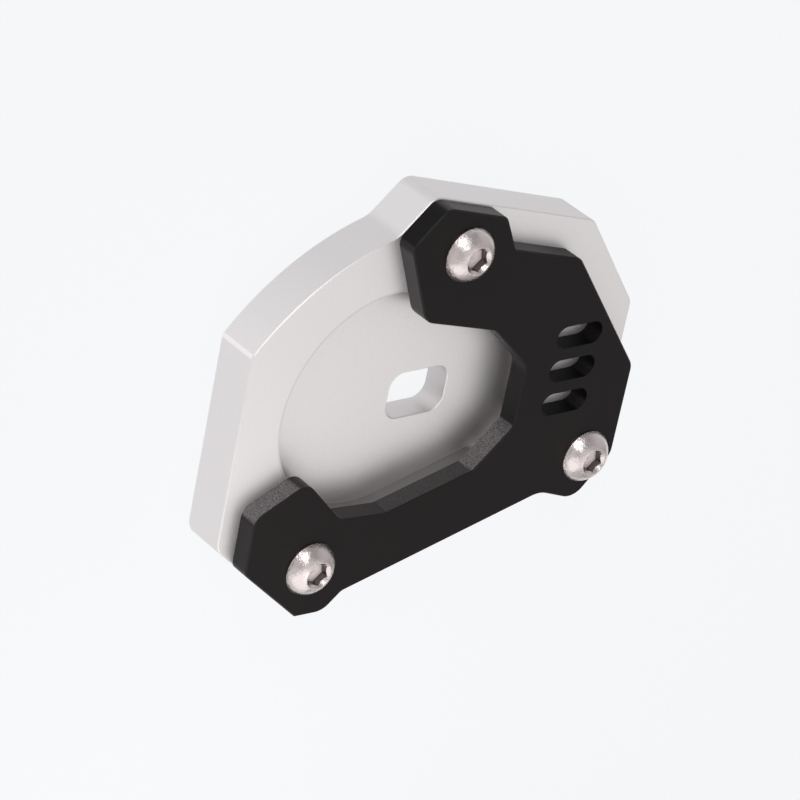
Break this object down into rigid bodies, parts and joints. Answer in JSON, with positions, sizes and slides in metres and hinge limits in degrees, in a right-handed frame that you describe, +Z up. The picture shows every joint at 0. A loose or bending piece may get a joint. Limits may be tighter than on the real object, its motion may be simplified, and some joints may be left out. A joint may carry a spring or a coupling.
{
  "type": "kickstand foot enlarger",
  "caption": "Flat aluminium plate that widens the foot of a motorbike's side stand, with a pocket for the foot and a black horseshoe plate screwed down over it.",
  "frame": {"origin": "on the axis of the oblong hole in the pocket's floor, in the ground face", "axes": "+Z up from the ground face to the pocket and the clamp plate; +X along the oblong hole, towards the clamp plate's closed end; +Y across them"},
  "size_m": [0.0883, 0.0794, 0.016],
  "materials": {
    "clear_anodised": "fine bead-blasted, clear anodised, satin",
    "black_anodised": "fine bead-blasted, black anodised, satin",
    "stainless": "bright stainless steel, as formed"
  },
  "bodies": {
    "root": {"base_plate": "clear_anodised", "clamp_plate": "black_anodised", "clamp_screws": "stainless"}
  },
  "joints": []
}
